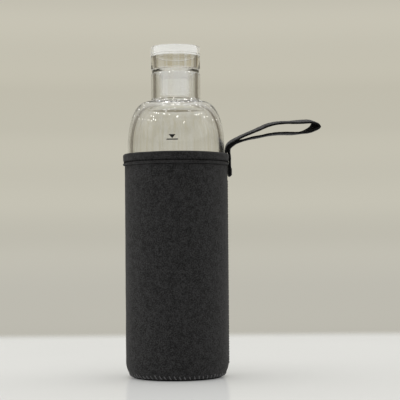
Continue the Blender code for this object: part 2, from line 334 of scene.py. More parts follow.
# ---- materials --------------------------------------------------------------------------------
class Shader:
    """A node tree under construction, for a material or for the world."""

    def __init__(self, owner, output="ShaderNodeOutputMaterial"):
        self.owner = owner
        owner.use_nodes = True
        self.tree = owner.node_tree
        self.tree.nodes.clear()
        self.output = self.node(output)

    def node(self, kind, **values):
        """A new node; a value may be a number, a colour or another node's socket."""
        made = self.tree.nodes.new(kind)
        for key, value in values.items():
            name = key.replace("_", " ")
            if hasattr(made, key):
                setattr(made, key, value)
            elif isinstance(value, bpy.types.NodeSocket):
                self.tree.links.new(value, made.inputs[name])
            else:
                made.inputs[name].default_value = value
        return made

    def surface(self, socket):
        self.tree.links.new(socket, self.output.inputs["Surface"])
        return self.owner

    def position(self, stretch=(1.0, 1.0, 1.0)):
        """The point in the object's own millimetres."""
        own = self.node("ShaderNodeTexCoord").outputs["Object"]
        scale = tuple(1000.0 * part for part in stretch)
        return self.node("ShaderNodeMapping", Vector=own, Scale=scale).outputs["Vector"]

    def split(self, vector):
        return self.node("ShaderNodeSeparateXYZ", Vector=vector).outputs

    def noise(self, vector, scale, detail=3.0, roughness=0.55):
        made = self.node("ShaderNodeTexNoise", Vector=vector, Scale=scale, Detail=detail)
        made.inputs["Roughness"].default_value = roughness
        return made.outputs["Fac"]

    def cells(self, vector, scale):
        """The distance to the nearest of many scattered points."""
        return self.node("ShaderNodeTexVoronoi", Vector=vector, Scale=scale).outputs["Distance"]

    def ramp(self, factor, stops):
        made = self.node("ShaderNodeValToRGB", Fac=factor)
        elements = made.color_ramp.elements
        while len(elements) < len(stops):
            elements.new(0.5)
        for element, (place, colour) in zip(elements, stops):
            element.position = place
            element.color = (*colour, 1.0)
        return made.outputs["Color"]

    def span(self, value, start, end, low=0.0, high=1.0):
        """The value's smooth way from start to end, as low to high."""
        made = self.node("ShaderNodeMapRange", interpolation_type="SMOOTHSTEP", Value=value)
        limits = (("From Min", start), ("From Max", end), ("To Min", low), ("To Max", high))
        for name, number in limits:
            made.inputs[name].default_value = number
        return made.outputs["Result"]

    def maths(self, operation, *values):
        made = self.node("ShaderNodeMath", operation=operation)
        for socket, value in zip(made.inputs, values):
            if isinstance(value, bpy.types.NodeSocket):
                self.tree.links.new(value, socket)
            else:
                socket.default_value = value
        return made.outputs["Value"]

    def bump(self, height, distance):
        return self.node("ShaderNodeBump", Height=height, Distance=distance).outputs["Normal"]

    def add(self, first, second):
        made = self.node("ShaderNodeAddShader")
        self.tree.links.new(first, made.inputs[0])
        self.tree.links.new(second, made.inputs[1])
        return made.outputs["Shader"]

    def mix(self, factor, first, second):
        made = self.node("ShaderNodeMixShader", Fac=factor)
        self.tree.links.new(first, made.inputs[1])
        self.tree.links.new(second, made.inputs[2])
        return made.outputs["Shader"]


def painted_lamp_glints(shader):
    """Painted glints: emitted points of light where the glass would mirror one of many small ceiling
    lamps.

    From the neck's foot up, where tight curves draw every lamp out, specks break them up.
    """
    foot_low, foot_high = 179.0, 183.0
    height = shader.split(shader.position())["Z"]
    mirrored = shader.node("ShaderNodeTexCoord").outputs["Reflection"]
    lamps = shader.cells(mirrored, 8.0)
    body_strength = shader.span(height, foot_low, foot_high, 3.0, 0.0)
    on_body = shader.maths("MULTIPLY", shader.span(lamps, 0.14, 0.05), body_strength)
    specks = shader.span(shader.cells(shader.position(), 0.6), 0.36, 0.2)
    broken = shader.maths("MULTIPLY", shader.span(lamps, 0.4, 0.2), specks)
    neck_strength = shader.span(height, foot_low, foot_high, 0.0, 7.0)
    on_neck = shader.maths("MULTIPLY", broken, neck_strength)
    overhead = shader.span(shader.split(mirrored)["Z"], 0.3, 0.45)
    brightness = shader.maths("MULTIPLY", shader.maths("ADD", on_body, on_neck), overhead)
    # Painted highlight: white emission laid where the mirrored direction meets a lamp cell.
    painted_glints = shader.node("ShaderNodeEmission", Color=(1.0, 1.0, 1.0, 1.0), Strength=brightness)
    return painted_glints.outputs["Emission"]


def clear_surface(shader, clean, streak, ior, wave):
    """Clear glass or plastic that lets soft light through to what stands behind it.

    Faint upright streaks of colour come from the mould. Light that is guided on and on inside a
    wall ends in a painted glow of the room's own dull beige.
    """
    ripples = shader.noise(shader.position(), 0.11, detail=1.0)
    normal = shader.bump(ripples, wave)
    upright = shader.noise(shader.position(stretch=(1.0, 1.0, 0.03)), 0.45, detail=2.0)
    tint = shader.ramp(upright, [(0.42, streak), (0.55, clean)])
    bent = shader.node("ShaderNodeBsdfGlass", Color=tint, IOR=ior, Roughness=0.0, Normal=normal)
    through = shader.node("ShaderNodeBsdfTransparent", Color=(0.97, 0.97, 0.965, 1.0))
    # Painted glow: a path that runs past the bounce limit ends in dull beige emission.
    painted_guided_glow = shader.node("ShaderNodeEmission", Color=(0.3, 0.27, 0.2, 1.0))
    path = shader.node("ShaderNodeLightPath").outputs
    passing = shader.maths("MAXIMUM", path["Is Shadow Ray"], path["Is Diffuse Ray"])
    clear = shader.mix(passing, bent.outputs["BSDF"], through.outputs["BSDF"])
    most_bounces = 7.5
    long_path = shader.maths("GREATER_THAN", path["Ray Depth"], most_bounces)
    shader.owner.cycles.emission_sampling = "NONE"
    return shader.mix(long_path, clear, painted_guided_glow.outputs["Emission"])


def clear_glass():
    shader = Shader(bpy.data.materials.new("clear_glass"))
    glass = clear_surface(shader, (0.99, 0.993, 0.997), (0.972, 0.968, 0.952), 1.5, 0.00003)
    # The glass's clear surface carries painted glints on top.
    return shader.surface(shader.add(glass, painted_lamp_glints(shader)))


def clear_silicone():
    shader = Shader(bpy.data.materials.new("clear_silicone"))
    clear = clear_surface(shader, (0.95, 0.95, 0.94), (0.9, 0.89, 0.86), 1.41, 0.00005)
    return shader.surface(clear)


def clear_plastic():
    """The cap: clear walls under a thick disc whose side fills with painted soft white light."""
    shader = Shader(bpy.data.materials.new("clear_plastic"))
    clear = clear_surface(shader, (0.99, 0.99, 0.99), (0.94, 0.92, 0.87), 1.49, 0.00003)
    # Painted light: a white scattering layer and a faint glow stand in for the light inside the clear
    # disc.
    white = (0.93, 0.94, 0.93, 1.0)
    passed_on = shader.node("ShaderNodeBsdfTranslucent", Color=white)
    sent_back = shader.node("ShaderNodeBsdfDiffuse", Color=white)
    painted_white_light = shader.mix(0.5, passed_on.outputs["BSDF"], sent_back.outputs["BSDF"])
    glow = shader.node("ShaderNodeEmission", Color=(1.0, 1.0, 0.99, 1.0), Strength=0.16)
    body = shader.add(painted_white_light, glow.outputs["Emission"])
    height = shader.split(shader.position())["Z"]
    disc_foot = cap_high.z - CAP_DISC_THICK
    above = shader.span(height, disc_foot + 0.25, disc_foot + 0.5, 0.0, 0.9)
    facing = shader.node("ShaderNodeLayerWeight", Blend=0.5).outputs["Facing"]
    middle = shader.span(facing, 0.44, 0.54, 1.0, 0.12)
    normal = shader.node("ShaderNodeNewGeometry").outputs["True Normal"]
    level = shader.maths("ABSOLUTE", shader.split(normal)["Z"])
    side_face = shader.span(level, 0.75, 0.4)
    # The painted light lies above the disc's foot, on its upright side, most where it faces the camera.
    painted_light_share = shader.maths("MULTIPLY", above, shader.maths("MULTIPLY", middle, side_face))
    return shader.surface(shader.mix(painted_light_share, clear, body))


def cloudy(name, colour, share, roughness):
    """Frosted plastic or silicone: part of the light scatters and the rest passes, and a faint painted
    glow brightens it.
    """
    shader = Shader(bpy.data.materials.new(name))
    tone = (*colour, 1.0)
    grain = shader.noise(shader.position(), 1.6)
    normal = shader.bump(grain, 0.00003)
    back = shader.node("ShaderNodeBsdfTranslucent", Color=tone, Normal=normal)
    front = shader.node("ShaderNodeBsdfPrincipled", Base_Color=tone, Normal=normal)
    front.inputs["Roughness"].default_value = roughness
    # Painted glow: a faint emission that brightens the frosted part.
    glow = shader.node("ShaderNodeEmission", Color=tone, Strength=0.1)
    scattered = shader.mix(0.45, back.outputs["BSDF"], front.outputs["BSDF"])
    scattered = shader.add(scattered, glow.outputs["Emission"])
    through = shader.node("ShaderNodeBsdfTransparent")
    facing = shader.node("ShaderNodeLayerWeight", Blend=0.5).outputs["Facing"]
    cloud = shader.maths("MULTIPLY", shader.span(facing, 0.75, 0.2, 0.15, 1.0), share)
    cloud = shader.maths("MULTIPLY", cloud, shader.span(grain, 0.2, 0.8, 0.8, 1.2))
    return shader.surface(shader.mix(cloud, through.outputs["BSDF"], scattered))


def fabric(name, dark, light, grain_size, sheen, depth):
    """A knitted or woven face: mottled colour, a fine grain, and a soft sheen at grazing angles."""
    shader = Shader(bpy.data.materials.new(name))
    position = shader.position()
    mottle = shader.maths("MULTIPLY", shader.noise(position, 0.3), 0.25)
    grain = shader.noise(position, 1.0 / grain_size, roughness=0.7)
    both = shader.maths("ADD", mottle, shader.maths("MULTIPLY", grain, 0.75))
    cloth = shader.node(
        "ShaderNodeBsdfPrincipled",
        Base_Color=shader.ramp(both, [(0.4, dark), (0.6, light)]),
        Roughness=0.85,
        Normal=shader.bump(grain, depth),
    )
    cloth.inputs["Specular IOR Level"].default_value = 0.12
    cloth.inputs["Sheen Weight"].default_value = sheen
    cloth.inputs["Sheen Roughness"].default_value = 0.6
    return shader.surface(cloth.outputs["BSDF"])


def ink():
    """The printed mark: black, slightly uneven."""
    shader = Shader(bpy.data.materials.new("mark_ink"))
    uneven = shader.noise(shader.position(), 3.0)
    tone = shader.ramp(uneven, [(0.3, (0.003,) * 3), (0.7, (0.009,) * 3)])
    print_face = shader.node("ShaderNodeBsdfPrincipled", Base_Color=tone, Roughness=0.5)
    return shader.surface(print_face.outputs["BSDF"])


def grey(level):
    """A charcoal tone, very slightly blue."""
    return (level, level, 1.06 * level)


GLASS = clear_glass()
PLASTIC = clear_plastic()
FROST = cloudy("frosted_plastic", (0.97, 0.97, 0.96), 0.35, 0.5)
SILICONE = cloudy("silicone", (0.97, 0.97, 0.96), 0.08, 0.35)
CLEAR_SILICONE = clear_silicone()
NEOPRENE = fabric("neoprene_knit", grey(0.009), grey(0.054), 0.75, 0.08, 0.00015)
HEM_FABRIC = fabric("hem_knit", grey(0.006), grey(0.05), 0.75, 0.08, 0.00015)
# The base disc is the sleeve's neoprene painted near black: painted shade for the dark line under the
# sleeve's bottom edge.
BASE_PAINTED_SHADE = fabric("base_knit_painted_shade", grey(0.002), grey(0.01), 0.75, 0.02, 0.00015)
THREAD = fabric("sewing_thread", grey(0.1), grey(0.22), 0.4, 0.1, 0.00005)
DARK_THREAD = fabric("hem_thread", grey(0.002), grey(0.008), 0.4, 0.0, 0.00005)
STRAP_FACE = fabric("strap_face", grey(0.03), grey(0.1), 1.0, 0.06, 0.00015)
STRAP_LINING = fabric("strap_lining", grey(0.001), grey(0.016), 0.8, 0.0, 0.0001)
INK = ink()


# ---- glass ------------------------------------------------------------------------------------
def glass_outside():
    """Down the outside, from the rim to the middle of the foot."""
    rim = rounded(NECK_R - RIM_OUTER_EDGE_R, RIM_Z - RIM_OUTER_EDGE_R, RIM_OUTER_EDGE_R, 90, 0, 8)
    shoulder_top = SHOULDER_Z + SHOULDER_RISE
    fillet = rounded(NECK_R + NECK_FILLET, shoulder_top + NECK_FILLET, NECK_FILLET, 180, 270, 10)
    shoulder_radii = (GLASS_R - SHOULDER_CENTRE_R, SHOULDER_RISE)
    shoulder = arc((SHOULDER_CENTRE_R, SHOULDER_Z), shoulder_radii, 90, 0, 36)
    heel = rounded(GLASS_R - HEEL_R, GLASS_FOOT_Z + HEEL_R, HEEL_R, 0, -90, 10)
    punt_line = ((0.75, 0.0), (0.5, 0.8), (0.0, 1.4))
    punt = [(GLASS_R * share, GLASS_FOOT_Z + rise) for share, rise in punt_line]
    side = straight(shoulder[-1], heel[0], 24)
    return rim + straight(rim[-1], fillet[0], 6) + fillet + shoulder[1:] + side + heel + punt


def glass_inside():
    """Up the inside, from the middle of the floor to the rim."""
    inner_r = GLASS_R - GLASS_WALL
    floor_z = GLASS_FOOT_Z + 1.6 * GLASS_WALL
    heel = rounded(inner_r - INNER_HEEL_R, floor_z + INNER_HEEL_R, INNER_HEEL_R, -90, 0, 10)
    ceiling_r = BORE_R + BORE_MOUTH_R
    ceiling_rise = SHOULDER_RISE - 0.97 * GLASS_WALL
    ceiling = arc((ceiling_r, SHOULDER_Z), (inner_r - ceiling_r, ceiling_rise), 0, 90, 36)
    mouth = rounded(ceiling_r, SHOULDER_Z + ceiling_rise + BORE_MOUTH_R, BORE_MOUTH_R, 270, 180, 10)
    rim = rounded(BORE_R + RIM_INNER_EDGE_R, RIM_Z - RIM_INNER_EDGE_R, RIM_INNER_EDGE_R, 180, 90, 6)
    floor = [(0.0, floor_z + 1.0), (inner_r * 0.5, floor_z + 0.7)]
    side = straight(heel[-1], ceiling[0], 24)
    return floor + heel + side + ceiling + mouth[1:] + straight(mouth[-1], rim[0], 6) + rim


def build_glass():
    profile = glass_inside() + glass_outside()
    turned("bottle_glass", profile, GLASS_STEPS, GLASS, "bottle", "glass_bottle")


def glass_radius(z):
    """The glass's outside radius on its side and shoulder."""
    rise = max(z - SHOULDER_Z, 0.0) / SHOULDER_RISE
    return SHOULDER_CENTRE_R + (GLASS_R - SHOULDER_CENTRE_R) * math.sqrt(1.0 - rise * rise)


def build_fill_mark():
    """A plain fill-level mark: a small triangle that points down at a short bar."""
    bm = bmesh.new()

    def wrapped(u, v, lift):
        """A point on the glass, u to the right of the mark's middle and v above it."""
        z = MARK_Z + v
        r = glass_radius(z) + lift
        angle = (MARK_X + u) / r - math.pi / 2
        return around(r, z, angle)

    def sheet(width_at, low, high, rows, columns, lift):
        """Rows of vertices, as wide at each height as width_at says, joined by faces."""
        grid = []
        for i in range(rows + 1):
            v = low + (high - low) * i / rows
            half = width_at(v) / 2
            row = [wrapped(half * (2 * k / columns - 1), v, lift) for k in range(columns + 1)]
            grid.append([bm.verts.new(point) for point in row])
        for row, following in zip(grid, grid[1:]):
            for k in range(columns):
                bm.faces.new((row[k], row[k + 1], following[k + 1], following[k]))
        return grid

    def outline(grid):
        """The vertices round a sheet's edge, in order."""
        right = [row[-1] for row in grid[1:]]
        left = [row[0] for row in grid[-2:0:-1]]
        return grid[0] + right + grid[-1][-2::-1] + left

    def panel(width_at, low, high, rows, columns=12):
        """A thin solid film of ink: two sheets and the wall that joins their edges."""
        back, front = (
            outline(sheet(width_at, low, high, rows, columns, lift)) for lift in (MARK_BACK, MARK_FRONT)
        )
        for k in range(len(back)):
            m = (k + 1) % len(back)
            bm.faces.new((back[k], back[m], front[m], front[k]))

    bar_foot, bar_top = -1.8, -1.05
    tip, triangle_top = -0.7, 1.8
    panel(lambda v: BAR_WIDTH, bar_foot, bar_top, 2)
    spread = TRIANGLE_SPREAD / (triangle_top - tip)
    panel(lambda v: TIP_WIDTH + spread * (v - tip), tip, triangle_top, 8)
    finish_piece("fill_level_mark", bm, [INK], "bottle")


# ---- stopper ----------------------------------------------------------------------------------
def build_cap():
    """Down the outside, with the moulding line low on the disc, and up into the hollow."""
    top, foot = cap_high.z, cap_low.z
    disc_r = cap_high.x
    hollow_r, wall_r = radii_mm("cap_shell", foot, foot + 1.0)
    under = top - CAP_DISC_THICK
    line_z = under + CAP_LINE_UP
    wall_top = (wall_r, under - 0.1)
    profile = [(0.0, top), (disc_r * 0.5, top)]
    profile += rounded(disc_r - CAP_EDGE_R, top - CAP_EDGE_R, CAP_EDGE_R, 90, 0, 12)
    profile += [(disc_r, line_z + CAP_LINE_HALF), (disc_r - CAP_LINE_DEPTH, line_z)]
    profile += [(disc_r, line_z - CAP_LINE_HALF)]
    profile += rounded(disc_r - CAP_STEP_R, under + CAP_STEP_R, CAP_STEP_R, 0, -80, 5)
    profile += [wall_top] + straight(wall_top, (wall_r, foot + CAP_FOOT_R), 5)
    profile += rounded(wall_r - CAP_FOOT_R, foot + CAP_FOOT_R, CAP_FOOT_R, 0, -90, 5)
    inner_foot_r = CAP_INNER_FOOT_R
    profile += rounded(hollow_r + inner_foot_r, foot + inner_foot_r, inner_foot_r, 270, 180, 4)
    corner_r = CAP_HOLLOW_CORNER_R
    profile += [(hollow_r, under - 0.4)]
    profile += rounded(hollow_r - corner_r, under - corner_r, corner_r, 0, 90, 4)
    profile += [(hollow_r - 0.4, under), (hollow_r * 0.5, under), (0.0, under)]
    turned("stopper_cap", profile, GLASS_STEPS, PLASTIC, "stopper", "cap_shell")


def build_plug():
    """A cup with a flange round its mouth: up the inside, over the flange and down the outside."""
    top, foot = plug_high.z, plug_low.z
    flange_r = plug_high.x
    flange_foot = top - FLANGE_THICK
    plug_r = radii_mm("stopper_plug", foot + 1.0, foot + 3.0)[1]
    inner = plug_r - PLUG_WALL
    floor = foot + PLUG_WALL
    corner_r = PLUG_INNER_CORNER_R
    profile = [(0.0, floor)] + rounded(inner - corner_r, floor + corner_r, corner_r, -90, 0, 6)
    profile += [(inner, top - 0.2), (inner + 0.2, top)]
    profile += [(flange_r - FLANGE_EDGE, top), (flange_r, top - FLANGE_EDGE)]
    profile += [(flange_r, flange_foot + FLANGE_EDGE), (flange_r - FLANGE_EDGE, flange_foot)]
    neck = (plug_r, flange_foot - FLANGE_EDGE)
    profile += [(plug_r + FLANGE_EDGE, flange_foot), neck]
    profile += straight(neck, (plug_r, foot + PLUG_CORNER_R), 6)
    profile += rounded(plug_r - PLUG_CORNER_R, foot + PLUG_CORNER_R, PLUG_CORNER_R, 0, -90, 8)
    profile += [(0.0, foot)]
    turned("stopper_plug_cup", profile, PLUG_STEPS, FROST, "stopper", "stopper_plug")


def build_plug_seal():
    """The ring round the plug, with a rounded lip at its top and another at its foot."""
    inner = seal_high.x - SEAL_DEPTH
    waist = seal_high.x - SEAL_LIP_OUT
    middle = (seal_low.z + seal_high.z) / 2
    lip = (SEAL_LIP_OUT, SEAL_LIP_HALF)
    profile = [(inner, seal_high.z), (waist, seal_high.z)]
    profile += arc((waist, seal_high.z - SEAL_LIP_HALF), lip, 80, -70, 8)
    profile += [(waist - 0.1, middle)]
    profile += arc((waist, seal_low.z + SEAL_LIP_HALF), lip, 70, -80, 8)
    profile += [(waist, seal_low.z), (inner, seal_low.z)]
    turned("plug_lip_seal", profile, PLUG_STEPS, SILICONE, "stopper", "plug_seal", closed=True)


def build_gasket():
    """The round-edged washer between the glass rim and the cap."""
    low, high = gasket_low.z, gasket_high.z
    edge_r = (high - low) / 2
    inner = radii_mm("neck_gasket", low, high)[0]
    profile = [(inner, high)] + rounded(gasket_high.x - edge_r, high - edge_r, edge_r, 90, -90, 12)
    profile += [(inner, low)]
    turned(
        "rim_gasket", profile, PLUG_STEPS, CLEAR_SILICONE, "stopper_ring", "neck_gasket",
        closed=True,
    )


# ---- sleeve -----------------------------------------------------------------------------------
def corner_point(angle_deg, standoff=0.0):
    """(r, z) on the rounded bottom corner, 0 degrees at its top, pushed out by standoff."""
    angle = math.radians(angle_deg)
    normal = Vector((math.cos(angle) / CORNER_OUT, -math.sin(angle) / CORNER_UP)).normalized()
    out = CORNER_OUT * max(math.cos(angle), 0.0) ** CORNER_FLATNESS
    down = (CORNER_UP - CORNER_FOOT_Z) * math.sin(angle) ** CORNER_FLATNESS
    r = SLEEVE_R - 0.1 - CORNER_OUT + out + standoff * normal.x
    z = CORNER_UP - down + standoff * normal.y
    return r, z


def seam_crease(angle, z):
    """How deep the side seam's crease pulls the fabric in, in millimetres."""
    sideways = SLEEVE_R * math.remainder(angle, math.tau)
    pull = 0.32 * math.exp(-((sideways / 0.7) ** 2)) + 0.1 * math.exp(-((sideways / 3.0) ** 2))
    stitch = 0.06 * math.exp(-((abs(sideways) - 1.7) / 0.6) ** 2)
    return (pull + stitch) * smooth(2.0, 8.0, z)


def body_shape(r, z, angle):
    """Tension in the stretched neoprene: slow lumps, the side seam, and a pucker at each base stitch."""
    place = around(SLEEVE_R, z, angle)
    slow = 0.1 * lumps(place, 17.0, 1.0) + 0.05 * lumps(place, 6.0, 2.0)
    pucker = 0.5 + 0.5 * math.cos(BASE_STITCHES * angle)
    low_edge = math.exp(-((z - 1.6) / 1.5) ** 2)
    return r + slow - seam_crease(angle, z) - 0.28 * pucker * low_edge, z


def lap_radius():
    """The outside of the sleeve's thinner top, which the hem folds over."""
    return radii_mm("sleeve_body", body_high.z - 1.0, body_high.z)[1]


def build_sleeve_body():
    """Down the outside, round the bottom corner, and up the inside."""
    lap_top = body_high.z
    lap_r = lap_radius()
    lap_foot = hem_low.z - 0.3
    outer = [(lap_r, lap_top), (lap_r, lap_foot)]
    outer += rounded(lap_r, lap_foot - LAP_EDGE_R, LAP_EDGE_R, 80, 0, 5)
    outer += straight(outer[-1], corner_point(0), 40)
    outer += [corner_point(angle) for angle in range(0, 91, 5)]
    heel_r = HEEL_R + SLEEVE_IN_R - GLASS_R
    inner = rounded(GLASS_R - HEEL_R, GLASS_FOOT_Z + HEEL_R, heel_r, -70, 0, 8)
    inner += [(SLEEVE_IN_R, 60.0), (SLEEVE_IN_R, 110.0), (SLEEVE_IN_R, lap_top)]

    def shape(r, z, angle):
        """The inside stays plain, so that it keeps clear of the glass."""
        if r > SLEEVE_IN_R + 0.01 or z < 2.0:
            return body_shape(r, z, angle)
        return r, z

    turned(
        "sleeve_skin", outer + inner, BODY_STEPS, NEOPRENE, "sleeve", "sleeve_body",
        closed=True, shape=shape,
    )


def build_sleeve_base():
    edge_r = BASE_EDGE_R
    profile = [(0.0, base_high.z)] + rounded(BASE_R - edge_r, base_high.z - edge_r, edge_r, 90, 0, 4)
    profile += rounded(BASE_R - edge_r, edge_r, edge_r, 0, -90, 4)
    profile += [(BASE_R * 0.66, 0.0), (BASE_R * 0.33, 0.0), (0.0, 0.0)]
    # The disc is painted near black as painted shade at the sleeve's foot.
    turned("sleeve_base_disc", profile, BASE_STEPS, BASE_PAINTED_SHADE, "sleeve", "sleeve_base")


def hem_shape(r, z, angle):
    """The hem's outer face, pulled in at each stitch hole, with soft lumps."""
    place = around(HEM_R, z, angle)
    slow = 0.12 * lumps(place, 12.0, 4.0) + 0.06 * lumps(place, 4.0, 5.0)
    hole = 0.5 + 0.5 * math.cos(HEM_STITCHES * angle)
    near_line = math.exp(-((z - STITCH_Z) / 0.9) ** 2)
    middle_r = (HEM_R + SLEEVE_IN_R) / 2
    outward = smooth(middle_r - 0.5, HEM_R, r)
    sag = 0.12 * lumps(place, 20.0, 6.0) * smooth(hem_low.z + 2.0, hem_high.z, z)
    return r + outward * (slow - 0.22 * hole * near_line), z + sag


def build_hem():
    """Over the rounded top, down to the stitched groove, round the lip under it, and up inside."""
    top, foot = hem_high.z, hem_low.z
    groove = HEM_GROOVE_R
    outer = [(SLEEVE_IN_R + 0.5, top - 0.15)]
    outer += rounded(HEM_R - HEM_EDGE_R, top - HEM_EDGE_R, HEM_EDGE_R, 95, 0, 9)
    outer += straight(outer[-1], (HEM_R - 0.05, STITCH_Z + 1.2), 4)
    outer += [(HEM_R - 0.1, STITCH_Z + 1.0), (groove + 0.3, STITCH_Z + 0.55)]
    outer += [(groove, STITCH_Z + 0.2), (groove, STITCH_Z - 0.2), (groove + 0.35, STITCH_Z - 0.5)]
    lip_r = (STITCH_Z - 0.6 - foot) / 2
    outer += rounded(HEM_R - lip_r + 0.1, foot + lip_r, lip_r, 75, -90, 8)
    leg_r = lap_radius() + 0.3
    leg_top = top - HEM_INNER_THICK
    inner = [(leg_r, foot), (leg_r, leg_top), (SLEEVE_IN_R, leg_top), (SLEEVE_IN_R, top - 0.6)]
    turned(
        "hem_band", outer + inner, HEM_STEPS, HEM_FABRIC, "sleeve", "top_hem",
        closed=True, shape=hem_shape,
    )


# ---- stitches ---------------------------------------------------------------------------------
def build_hem_stitches():
    """The lockstitch that lies in the hem's groove."""
    rng = random.Random(11)
    bm = bmesh.new()
    pitch = math.tau / HEM_STITCHES
    r = HEM_R - 0.62
    for i in range(HEM_STITCHES):
        middle = (i + 0.5) * pitch
        half = 0.39 * pitch * rng.uniform(0.94, 1.04)
        tilt = rng.uniform(-0.07, 0.07)
        start = around(r - 0.15, STITCH_Z - tilt, middle - half)
        end = around(r - 0.15, STITCH_Z + tilt, middle + half)
        stitch_into(bm, start, end, around(0.3, 0.0, middle), HEM_THREAD_R)
    finish_piece("hem_lockstitch", bm, [DARK_THREAD], "sleeve", ["hem_stitching"])


def build_base_stitches():
    """Whip stitches that slant over the bottom corner and dive into it at both ends."""
    rng = random.Random(23)
    bm = bmesh.new()
    pitch = math.tau / BASE_STITCHES
    steps = 8
    for i in range(BASE_STITCHES):
        angle = i * pitch + rng.uniform(-0.06, 0.06) * pitch
        high = WHIP_TOP_DEG + rng.uniform(-5.0, 5.0)
        low = WHIP_FOOT_DEG + rng.uniform(-3.0, 3.0)
        points = []
        radii = []
        for k in range(steps + 1):
            t = k / steps
            arch = math.sin(math.pi * t) ** 0.5
            r, z = corner_point(high + (low - high) * t, standoff=-0.45 + 0.55 * arch)
            points.append(around(r, z, angle + 0.42 * pitch * (t - 0.5)))
            radii.append(WHIP_THREAD_R * (0.6 + 0.4 * arch))
        tube_into(bm, points, radii)
    finish_piece("base_whip_stitches", bm, [THREAD], "sleeve", ["base_seam_stitching"])


def build_side_stitches():
    """The zigzag that closes the side of the sleeve."""
    low, high = box_mm("side_seam_stitching")
    rng = random.Random(37)
    bm = bmesh.new()
    half = (high.y - low.y) / 2 - 0.2
    rise = (high.z - low.z) / (2 * SIDE_STITCHES)
    for i in range(2 * SIDE_STITCHES):
        side = half if i % 2 else -half
        z = low.z + rise * i
        start = (SLEEVE_R - 0.3, side + rng.uniform(-0.08, 0.08), z)
        end = (SLEEVE_R - 0.3, -side + rng.uniform(-0.08, 0.08), z + rise)
        stitch_into(bm, start, end, AXIS_X * 0.35, SEAM_THREAD_R)
    finish_piece("side_zigzag", bm, [DARK_THREAD], "sleeve", ["side_seam_stitching"])


# ---- strap ------------------------------------------------------------------------------------
def leaning(along, height):
    """A place on the strap's centre line, which curves slowly towards +Y on its way out."""
    angle = along / STRAP_BEND_R
    x = STRAP_ROOT_X + STRAP_BEND_R * math.sin(angle)
    y = STRAP_BEND_R - STRAP_BEND_R * math.cos(angle)
    return Vector((x, y, height))


# The strap's centre line as (distance along, height, rise of the far edge per mm of width): down
# the inner layer of its foot, round the fold, up the outside of the hem, out along the lower
# strand, round the far bend, back along the upper strand, and down behind the hem.
STRAP_LINE = (
    (-0.8, 141.3, 0), (-0.8, 138.4, 0), (-0.8, 135.4, 0), (-0.6, 134.55, 0), (-0.15, 134.3, 0),
    (0.3, 134.6, 0), (0.45, 135.6, 0), (0.45, 137.6, 0), (0.25, 139.8, 0), (0.15, 141.4, 0),
    (0.15, 143.5, 0), (0.15, 146.3, 0), (-0.05, 148.2, 0), (-0.35, 149.8, 0.02), (-0.5, 151.1, 0.04),
    (-0.1, 152.9, 0.06), (1.6, 154.9, 0.1), (4.2, 156.6, 0.1), (7.0, 157.6, 0.08), (10.0, 158.4, 0.03),
    (15.0, 159.7, -0.01), (20.0, 160.6, -0.02), (26.0, 161.9, -0.03), (32.0, 162.8, -0.03),
    (38.0, 163.2, -0.02), (44.0, 163.3, -0.02), (50.0, 163.7, 0.0), (56.0, 164.8, 0.06),
    (60.6, 166.5, 0.1), (63.7, 168.0, 0.15), (65.3, 169.6, 0.2), (65.1, 171.1, 0.25),
    (62.6, 172.0, 0.27), (59.3, 172.2, 0.25), (55.0, 171.9, 0.22), (50.0, 171.4, 0.2), (44.0, 170.9, 0.16),
    (38.0, 170.6, 0.14), (32.0, 169.9, 0.14), (26.0, 168.4, 0.13), (20.0, 165.8, 0.13),
    (15.0, 163.7, 0.13), (10.0, 161.6, 0.13), (5.9, 159.6, 0.17), (3.1, 158.1, 0.2),
    (0.2, 156.2, 0.2), (-1.55, 154.3, 0.16), (-2.25, 151.9, 0.1), (-2.4, 150.2, 0.04), (-2.6, 148.8, 0),
    (-2.6, 146.5, 0), (-2.6, 142.4, 0),
)


def strap_section():
    """The band's cross-section as (across, through) points: flat faces and rounded edges."""
    half_width = STRAP_WIDTH / 2
    half_thick = STRAP_THICK / 2
    edge_steps = 6
    points = []
    for side in (1, -1):
        centre = side * (half_width - half_thick)
        for k in range(edge_steps + 1):
            angle = math.pi * (k / edge_steps - 0.5)
            out = half_thick * math.cos(angle)
            points.append((centre + side * out, side * half_thick * math.sin(angle)))
        for share in (0.6, 0.2, -0.2, -0.6):
            points.append((side * share * half_width, side * half_thick))
    return points


def strap_face(through):
    """Which cloth shows here: 0 for the face, 1 for the lining, which shows at the edges too."""
    return 0 if through < -0.15 * STRAP_THICK else 1


def strap_sideways(along, height, rise):
    """The direction across the band. Round the far bend it leans outwards, away from the sleeve."""
    angle = along / STRAP_BEND_R
    lead = 0.3 * smooth(50.0, 62.0, along) * smooth(169.5, 171.5, height)
    x = lead * math.cos(angle) - math.sin(angle)
    y = lead * math.sin(angle) + math.cos(angle)
    return Vector((x, y, rise)).normalized()


def strap_plumpness(height):
    """The band's thickness as a share of STRAP_THICK: flat where sewn, plumper near the root."""
    sewn = smooth(150.6, 148.6, height)
    full = 1.0 + 0.25 * (1.0 - sewn) * smooth(159.0, 155.5, height)
    return full + sewn * (SEWN_THICK / STRAP_THICK - full)


